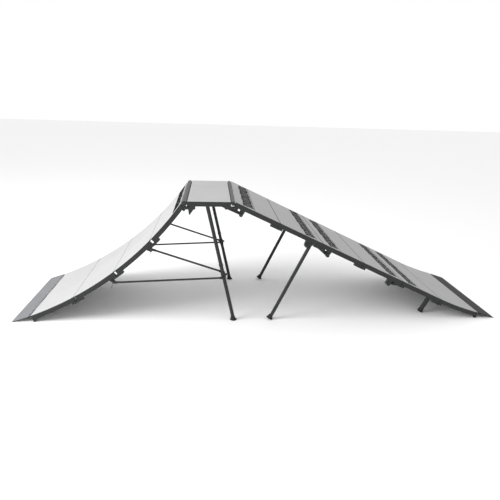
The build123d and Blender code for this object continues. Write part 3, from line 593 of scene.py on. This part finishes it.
class RAMP_OT_grip_bands(bpy.types.Operator):
    """Plain printed bands of slanted strokes across the boards"""

    bl_idname = "ramp.grip_bands"
    bl_label = "Grip bands"

    def execute(self, context):
        deep = context.scene.ramp_sizes.band_length
        widths = (0.066, 0.048, 0.074, 0.056, 0.062)
        bands = [("landing", 1, 0.148), ("landing", 2, 0.37), ("landing", 3, 0.15)]
        bands += [("landing", 4, 0.40), ("landing", 5, 0.155), ("takeoff", 4, 0.41)]
        lines = {"takeoff": takeoff, "landing": landing}
        for kind, number, middle in bands:
            strokes = []
            # thicker where the board is curved, so that its ends stay above it
            thick = 0.0010 if kind == "takeoff" else 0.0004
            y, i = -0.575, number
            while y < 0.495:
                wide = widths[i % len(widths)]
                long = deep * (0.86 + 0.14 * ((3 * i) % 4) / 3)
                stroke = box("stroke", (-long / 2, y, -thick), (long / 2, y + wide, thick))
                pick(stroke, lambda face: face.normal.x > 0.9)
                bpy.ops.transform.translate(value=(0, 0.035, 0))
                # the board shows through a slot sunk below its face
                pick(stroke, lambda face: face.normal.z > 0.9)
                bpy.ops.mesh.inset(thickness=0.41 * wide)
                sink = {"value": (0, 0, -1.6 * thick)}
                bpy.ops.mesh.extrude_region_move(TRANSFORM_OT_translate=sink)
                strokes.append(done(stroke))
                y += wide + 0.010
                i += 1
            rule = box("rule", (deep / 2 + 0.006, -0.59, -thick), (deep / 2 + 0.012, 0.60, thick))
            strokes.append(done(rule))
            start_clean()
            for stroke in strokes:
                stroke.select_set(True)
            bpy.context.view_layer.objects.active = strokes[0]
            bpy.ops.object.join()
            band = bpy.context.view_layer.objects.active
            name = f"grip_band_{kind}_{number}"
            place = at(lines[kind](number, middle), 0.0, 0.0)
            spread(name, band, [place], body_of(kind, number), material_for("black_ink"))
            drop(band)
        return {"FINISHED"}


class RAMP_OT_edge_bands(bpy.types.Operator):
    """Dark edging along the sides of the boards and at the seams between them"""

    bl_idname = "ramp.edge_bands"
    bl_label = "Edge bands"

    def execute(self, context):
        thin, lift, steps = 0.0008, 0.0002, 8
        board = material_for("black_plastic")
        for kind, line, number in PANELS:
            first, last = DECK_ENDS.get((kind, number), (0.0, PANEL))
            step = (last - first) / steps
            corner = (step / 2 + 0.0001, thin, lift)
            band = softened(box("band", (-corner[0], 0.0, -DECK), corner), 0.0002, 1)
            places = [
                at(line(number, first + step * (k + 0.5)), way * HALF_WIDTH) @ mirrored(way)
                for way in SIDES.values()
                for k in range(steps)
            ]
            name = f"edge_band_{kind}_{number}" if number else "edge_band_platform"
            body = body_of(kind, number)
            spread(name, band, places, body, board)
            drop(band)
            # a dark line at each end that meets another board
            wide = SEAM_LINE.get(kind)
            if wide:
                low, high = (0.0, -HALF_WIDTH, 0.0), (wide, HALF_WIDTH, lift)
                seam = softened(box("seam", low, high), 0.0001, 1)
                ends = []
                if (kind, number) not in (("takeoff", 1), ("landing", 1)):
                    ends.append(at(line(number, first)))
                if (kind, number) not in (("takeoff", 4), ("landing", 6)):
                    ends.append(at(line(number, last), 0.0, 0.0, -wide))
                spread(f"seam_line_{kind}_{number}", seam, ends, body, material_for("black_ink"))
                drop(seam)
        return {"FINISHED"}


class RAMP_OT_tube_plugs(bpy.types.Operator):
    """Black nylon plugs in the ends of the rails and copings"""

    bl_idname = "ramp.tube_plugs"
    bl_label = "Tube plugs"

    def execute(self, context):
        half = RAIL / 2 - 0.0008
        plug = box("plug", (0.0, -half, -half), (0.003, half, half))
        pick(plug, lambda face: face.normal.x > 0.9)
        bpy.ops.mesh.inset(thickness=0.007, depth=-0.0012)
        plug = softened(done(plug), 0.0008)
        entries = []
        rails = []
        for number in range(1, 5):
            first = TOE_RAIL_START if number == 1 else GAP_UPHILL
            last = TAKEOFF_PANEL - (LIP_RAIL_TRIM if number == 4 else GAP_DOWNHILL)
            rails.append(("takeoff", takeoff, number, first, last))
        rails.append(("platform", platform, 0, 0.0, PLATFORM_LENGTH))
        for number in range(1, 7):
            last = PANEL - GAP_UPHILL if number < 6 else None
            rails.append(("landing", landing, number, GAP_DOWNHILL, last))
        for kind, line, number, first, last in rails:
            for way in SIDES.values():
                middle = -DECK - RAIL / 2
                if (kind, number) != ("takeoff", 1):
                    low = at(line(number, first), way * RAIL_Y, middle) @ Matrix.Rotation(pi, 4, "Z")
                    entries.append((body_of(kind, number), low))
                if last is not None:
                    entries.append(
                        (body_of(kind, number), at(line(number, last), way * RAIL_Y, middle))
                    )
        # a bumper on the uphill rail fills most of each gap under the landing
        bumper = box("bumper", (0.0, -half, -half), (0.030, half, half))
        pick(bumper, lambda face: abs(face.normal.x) < 0.1)
        bpy.ops.mesh.inset(thickness=0.004, depth=-0.0010)
        bumper = softened(done(bumper), 0.0010)
        ends = [
            (body_of("landing", i), at(landing(i, PANEL - GAP_UPHILL), way * RAIL_Y, -DECK - RAIL / 2))
            for i in range(1, 6)
            for way in SIDES.values()
        ]
        nylon = material_for("black_plastic")
        for body, places in by_body(ends).items():
            spread(f"gap_bumpers_{body}", bumper, places, body, nylon)
        drop(bumper)
        for body, places in by_body(entries).items():
            spread(f"rail_plugs_{body}", plug, places, body, material_for("black_plastic"))
        drop(plug)
        for name, radius in COPING_RADII.items():
            low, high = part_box(name)
            centre = (low + high) / 2
            profile = [(radius - 0.0034, -0.02), (radius - 0.0034, 0.0)]
            profile += [(radius - 0.001, 0.0), (radius - 0.001, 0.0012), (radius * 0.8, 0.0032)]
            profile += [(radius * 0.45, 0.0040), (radius * 0.3, 0.0034)]
            cap = turned("cap", profile, 40)
            places = [
                Matrix.Translation((centre.x, way * HALF_WIDTH, centre.z)) @ facing(side)
                for side, way in SIDES.items()
            ]
            spread(f"{name}_plugs", cap, places, "platform", material_for("black_plastic"))
            drop(cap)
        return {"FINISHED"}


def knob_axis(seam, u):
    """Matrix of a lock knob's axis, at the middle of the set."""
    return at(seam, 0.0, RAIL_LOW - KNOB_DROP, u)


KNOBS = {
    "ridge": (LANDING[0], 0.105),
    "leg": (LANDING[2], -0.152),
    "upper": (LANDING[2], 0.105),
    "lower": (LANDING[4], -0.140),
}


class RAMP_OT_lock_knobs(bpy.types.Operator):
    """Fluted lock knobs on steel plungers"""

    bl_idname = "ramp.lock_knobs"
    bl_label = "Lock knobs"

    def execute(self, context):
        r = context.scene.ramp_sizes.knob_radius
        profile = [(0.013, 0.0), (0.014, 0.001), (0.014, 0.0055), (r * 0.86, 0.0062), (r, 0.0075)]
        profile += [(r, 0.0155), (r * 0.93, 0.0175), (r * 0.72, 0.018), (r * 0.68, 0.0168)]
        profile += [(r * 0.30, 0.0168), (r * 0.26, 0.0178)]
        grip = turned("grip", profile, 48)
        # twelve finger flutes: two neighbouring faces in every four of the rim go in
        def in_flute(face):
            c = face.center
            around = (atan2(c.y, c.x) / (2 * pi) * 48) % 4
            return c.xy.length > 0.95 * r and 0.008 < c.z < 0.0152 and around < 2
        pick(grip, in_flute)
        bpy.ops.mesh.inset(thickness=0.0006, depth=-0.0016)
        grip = softened(done(grip), 0.0003, 1, 50)
        plunger = turned(
            "plunger", [(0.0030, -0.0495), (0.0039, -0.0480), (0.0039, 0.0), (0.0039, 0.001)], 20
        )
        for place, (seam, u) in KNOBS.items():
            axis = knob_axis(seam, u)
            for side, way in SIDES.items():
                body = f"{place}_knob_{side}"
                seat = Matrix.Translation(axis.translation + Vector((0, way * (HALF_WIDTH + 0.0005), 0)))
                where = [seat @ facing(side)]
                knob = spread(
                    f"fluted_{body}", grip, where, body, material_for("black_plastic")
                )
                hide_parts(body)
                spread(f"plunger_{body}", plunger, where, body, material_for("zinc_steel"))
        drop(grip)
        drop(plunger)
        return {"FINISHED"}


def hinge_places():
    """(body of the pin, matrix of the pivot) of every hinge pin under the rails."""
    places = [("platform", pivot(TAKEOFF[i], 1)) for i in (1, 2, 3, 4)]
    places += [("platform", pivot(LANDING[i], -1)) for i in (0, 1)]
    places += [("landing_upper", pivot(LANDING[i], -1)) for i in (2, 3)]
    places += [("landing_middle", pivot(LANDING[i], -1)) for i in (4, 5)]
    leg = at(LANDING[2], 0.0, RAIL_LOW - LEG_PIVOT[1], -LEG_PIVOT[0])
    return places + [("landing_upper", leg)]


class RAMP_OT_pivot_nuts(bpy.types.Operator):
    """Hex heads outside and lock nuts inside on every hinge pin"""

    bl_idname = "ramp.pivot_nuts"
    bl_label = "Pivot nuts"

    def execute(self, context):
        r = context.scene.ramp_sizes.nut_radius * 0.72
        head = turned("head", [(r, 0.0), (r, 0.0030), (0.86 * r, 0.0038), (0.5 * r, 0.0038)], 6)
        head = softened(head, 0.0004)
        nut = turned("nut", [(r, 0.0), (r, 0.0040), (0.84 * r, 0.0048)], 6)
        collar = turned("collar", [(0.72 * r, 0.0048), (0.72 * r, 0.0062), (0.5 * r, 0.0068)], 20)
        start_clean()
        nut.select_set(True)
        collar.select_set(True)
        bpy.context.view_layer.objects.active = nut
        bpy.ops.object.join()
        nut = softened(bpy.context.view_layer.objects.active, 0.0004)
        heads, nuts = [], []
        for body, axis in hinge_places():
            for side, way in SIDES.items():
                outer = axis.translation + Vector((0, way * (RAIL_Y + FASTENER_SEAT), 0))
                inner = axis.translation + Vector((0, way * (RAIL_Y - FASTENER_SEAT), 0))
                other = "left" if side == "right" else "right"
                heads.append((body, Matrix.Translation(outer) @ facing(side)))
                nuts.append((body, Matrix.Translation(inner) @ facing(other)))
        for name, model, entries in (("bolt_heads", head, heads), ("lock_nuts", nut, nuts)):
            for body, places in by_body(entries).items():
                spread(f"{name}_{body}", model, places, body, material_for("zinc_steel"))
        drop(head)
        drop(nut)
        return {"FINISHED"}


class RAMP_OT_flap_rivets(bpy.types.Operator):
    """Domed rivets along the hinge of each flap"""

    bl_idname = "ramp.flap_rivets"
    bl_label = "Flap rivets"

    def execute(self, context):
        r = context.scene.ramp_sizes.rivet_radius
        profile = [(r, 0.0), (r, 0.0003), (0.9 * r, 0.0011), (0.65 * r, 0.0019), (0.3 * r, 0.0023)]
        rivet = turned("rivet", profile, 24)
        for flap, seam, outward in (("approach", TAKEOFF[0], -1), ("exit", LANDING[6], 1)):
            slope = -outward * FLAP_SLOPE
            axis = at(seam, 0.0, -0.007)
            centre = (axis.translation.x, axis.translation.z, slope)
            places = [
                at(centre, -0.55 + 0.1 * k, 0.007, outward * 0.022)
                for k in range(12)
            ]
            spread(
                f"{flap}_flap_rivets", rivet, places, f"{flap}_flap",
                material_for("powder_coat"),
            )
        drop(rivet)
        return {"FINISHED"}


class RAMP_OT_feet(bpy.types.Operator):
    """Ribbed rubber feet under the legs and caps on the toe legs"""

    bl_idname = "ramp.feet"
    bl_label = "Feet and caps"

    def execute(self, context):
        rubber = material_for("black_rubber")
        profile = [(0.0345, 0.0), (0.037, 0.0015), (0.037, 0.0045), (0.0350, 0.006), (0.0285, 0.0068)]
        for k in range(4):
            z = 0.010 + 0.0075 * k
            wide = 0.0272 - 0.0012 * k
            profile += [(wide - 0.0014, z), (wide, z + 0.0014)]
            profile += [(wide, z + 0.0038), (wide - 0.0014, z + 0.0052)]
        profile += [(0.0226, 0.0392), (0.0214, 0.0402), (LEG_RADIUS, 0.0402), (LEG_RADIUS, 0.0300)]
        foot = turned("foot", profile, 40)
        # the cups of the platform legs follow their lean above flat soles
        lean = -LEG_SPREAD / (PLATFORM[2] + RAIL_LOW - FOOT_SEAT)
        leaning = turned("leaning_foot", profile, 40, lean)
        places = [Matrix.Translation((LEG_FOOT_X, way * RAIL_Y, 0.0)) for way in SIDES.values()]
        feet = spread("ribbed_platform_feet", leaning, places, "platform", rubber)
        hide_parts("platform_feet")
        drop(leaning)
        # a pale sleeve half way up each platform leg
        low, high = 0.614, 0.650
        skin = LEG_RADIUS + 0.0006
        profile = [(LEG_RADIUS, low), (skin, low + 0.0006), (skin + 0.0004, low + 0.003)]
        profile += [(skin + 0.0004, high - 0.003), (skin, high - 0.0006), (LEG_RADIUS, high)]
        sleeve = turned("sleeve", profile, 40, lean)
        places = [
            Matrix.Translation((LEG_FOOT_X - lean * FOOT_SEAT, way * RAIL_Y, 0.0))
            for way in SIDES.values()
        ]
        spread("leg_sleeves", sleeve, places, "platform", material_for("zinc_steel"))
        drop(sleeve)
        for side in SIDES:
            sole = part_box(f"landing_foot_{side}")
            sloped = LANDING[2][2]
            n_axis = Vector((-sin(sloped), 0, cos(sloped)))
            centre = (sole[0] + sole[1]) / 2
            middle = centre - n_axis * 0.0176
            place = at((middle.x, middle.z, sloped), centre.y)
            piece = spread(
                f"ribbed_landing_foot_{side}", foot, [place], f"landing_leg_{side}", rubber
            )
            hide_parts(f"landing_foot_{side}")
        ring = turned("ring", [(0.0281, 0.0), (0.0290, 0.001), (0.0290, 0.003), (0.0281, 0.004)], 40)
        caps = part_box("toe_leg_caps")
        middle = (caps[0] + caps[1]) / 2
        sloped = LANDING[5][2]
        places = [
            at((middle.x, middle.z, sloped), way * TOE_LEG_Y, n)
            for way in SIDES.values()
            for n in (-0.012, -0.004, 0.004, 0.012)
        ]
        spread("toe_cap_ribs", ring, places, "landing_middle", rubber)
        drop(foot)
        drop(ring)
        return {"FINISHED"}


class RAMP_OT_pin_clips(bpy.types.Operator):
    """Wire clips that hang from the brace pins"""

    bl_idname = "ramp.pin_clips"
    bl_label = "Pin clips"

    def execute(self, context):
        thin = context.scene.ramp_sizes.wire_radius
        ring = fresh(
            bpy.ops.mesh.primitive_torus_add, "clip", major_radius=0.0105, minor_radius=thin,
            major_segments=32, minor_segments=8, rotation=(pi / 2, 0, 0),
        )
        tail = fresh(
            bpy.ops.mesh.primitive_cylinder_add, "tail", vertices=8, radius=thin, depth=0.056,
            location=(0, 0, -0.0380),
        )
        pick(tail, lambda face: face.normal.z < -0.9)
        for step in ((-0.002, -0.003), (-0.004, -0.002)):
            move = {"value": (step[0], 0, step[1])}
            bpy.ops.mesh.extrude_region_move(TRANSFORM_OT_translate=move)
        done(tail)
        start_clean()
        ring.select_set(True)
        tail.select_set(True)
        bpy.context.view_layer.objects.active = ring
        bpy.ops.object.join()
        clip = bpy.context.view_layer.objects.active
        places = []
        for seam, inside in ((TAKEOFF[2], 1), (TAKEOFF[3], -1)):
            pin = at(seam, 0.0, RAIL_LOW - BRACE_PIN[1], -BRACE_PIN[0]).translation
            for way in SIDES.values():
                y = way * (RAIL_Y + inside * 0.0285)
                swing = Matrix.Rotation(radians(20), 4, "Y")
                places.append(Matrix.Translation((pin.x, y, pin.z)) @ swing)
        spread("pin_clips", clip, places, "platform", material_for("zinc_steel"))
        drop(clip)
        return {"FINISHED"}


class RAMP_OT_welds(bpy.types.Operator):
    """Weld beads where the hinge blocks meet the rails"""

    bl_idname = "ramp.welds"
    bl_label = "Weld beads"

    def execute(self, context):
        r = context.scene.ramp_sizes.weld_radius
        # a ripple for each drop of the run, and pinched ends
        run, rings = 0.046, 24
        profile = []
        for k in range(rings + 1):
            step = k / rings
            ripple = 0.86 + 0.14 * cos(12 * pi * step)
            profile.append((r * ripple * min(1.0, 0.35 + 6 * step * (1 - step)), run * (step - 0.5)))
        bead = turned("bead", profile, 10)
        along = Matrix.Rotation(pi / 2, 4, "Y")
        entries = []
        for body, kind, number, u in block_places():
            line = takeoff if kind == "takeoff" else landing
            for way in SIDES.values():
                for edge in (-1, 1):
                    y = way * RAIL_Y + edge * (RAIL / 2 - 0.0006)
                    entries.append((body, at(line(number, u), y, RAIL_LOW) @ along))
        for body, places in by_body(entries).items():
            spread(f"welds_{body}", bead, places, body, material_for("powder_coat"))
        drop(bead)
        return {"FINISHED"}


def block_places():
    """(body, line, panel, distance along it) of every hinge block that is welded to a rail."""
    reach = GAP_UPHILL + BLOCK_LENGTH / 2
    places = [(body_of("takeoff", i), "takeoff", i, reach) for i in (2, 3, 4)]
    places += [(body_of("landing", i), "landing", i, PANEL - reach) for i in range(1, 6)]
    return places


class RAMP_OT_stage(bpy.types.Operator):
    """Pale floor, soft studio light and the camera"""

    bl_idname = "ramp.stage"
    bl_label = "Stage"

    def execute(self, context):
        floor = fresh(bpy.ops.mesh.primitive_plane_add, "floor", size=80)
        floor.data.transform(Matrix.Translation((0, 0, -0.0005)))
        material, _tree, shader, _coords = base_material("floor_paper", Roughness=0.9)
        shader.inputs["Base Color"].default_value = (0.90, 0.90, 0.90, 1.0)
        floor.data.materials.append(material)
        world = bpy.data.worlds.new("studio")
        context.scene.world = world
        world.use_nodes = True
        background = world.node_tree.nodes["Background"]
        background.inputs["Color"].default_value = (1.0, 1.0, 1.0, 1.0)
        background.inputs["Strength"].default_value = 1.0
        context.scene.view_settings.view_transform = "Standard"
        lights = [("key", (-6.5, -2.5, 4.6), 4.0, 500.0)]
        for name, place, size, power in lights:
            light = bpy.data.lights.new(name, "AREA")
            light.size, light.energy = size, power
            lamp = bpy.data.objects.new(name, light)
            lamp.location = place
            aim = Vector((0, 0, 0.6)) - Vector(place)
            lamp.rotation_euler = aim.to_track_quat("-Z", "Y").to_euler()
            context.scene.collection.objects.link(lamp)
        camera = bpy.data.cameras.new("camera")
        camera.sensor_width, camera.lens = 36.0, 32.39
        eye = bpy.data.objects.new("camera", camera)
        yaw, pitch, roll = 0.0883, 0.3200, 0.0318
        ahead = Vector((sin(yaw) * cos(pitch), cos(yaw) * cos(pitch), -sin(pitch)))
        right = Vector((cos(yaw), -sin(yaw), 0))
        up = right.cross(ahead)
        side = cos(roll) * right + sin(roll) * up
        top = -sin(roll) * right + cos(roll) * up
        turn = Matrix((side, top, -ahead)).transposed().to_4x4()
        eye.matrix_world = Matrix.Translation((-0.5586, -5.0031, 2.2649)) @ turn
        context.scene.collection.objects.link(eye)
        context.scene.camera = eye
        return {"FINISHED"}


STEPS = (
    RAMP_OT_finish_frame,
    RAMP_OT_deck_screws,
    RAMP_OT_grip_bands,
    RAMP_OT_edge_bands,
    RAMP_OT_tube_plugs,
    RAMP_OT_lock_knobs,
    RAMP_OT_pivot_nuts,
    RAMP_OT_flap_rivets,
    RAMP_OT_feet,
    RAMP_OT_pin_clips,
    RAMP_OT_welds,
    RAMP_OT_stage,
)


class RAMP_PT_panel(bpy.types.Panel):
    """The pieces and their settings"""

    bl_label = "Jump ramp"
    bl_idname = "RAMP_PT_panel"
    bl_space_type = "VIEW_3D"
    bl_region_type = "UI"
    bl_category = "Jump ramp"

    def draw(self, context):
        for group in (context.scene.ramp_sizes, context.scene.ramp_colours):
            for name in group.bl_rna.properties.keys():
                if name not in ("rna_type", "name"):
                    self.layout.prop(group, name)
        for step in STEPS:
            self.layout.operator(step.bl_idname)


CLASSES = (RampSizes, RampColours) + STEPS + (RAMP_PT_panel,)


def register():
    """Makes the settings, operators and panel known to Blender."""
    for cls in CLASSES:
        bpy.utils.register_class(cls)
    bpy.types.Scene.ramp_sizes = bpy.props.PointerProperty(type=RampSizes)
    bpy.types.Scene.ramp_colours = bpy.props.PointerProperty(type=RampColours)


def unregister():
    """Takes them out again."""
    del bpy.types.Scene.ramp_colours
    del bpy.types.Scene.ramp_sizes
    for cls in reversed(CLASSES):
        bpy.utils.unregister_class(cls)


def main():
    """Builds the visual model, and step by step."""
    register()
    for step in STEPS:
        group, name = step.bl_idname.split(".")
        getattr(getattr(bpy.ops, group), name)()
    start_clean()


if __name__ == "__main__":
    main()
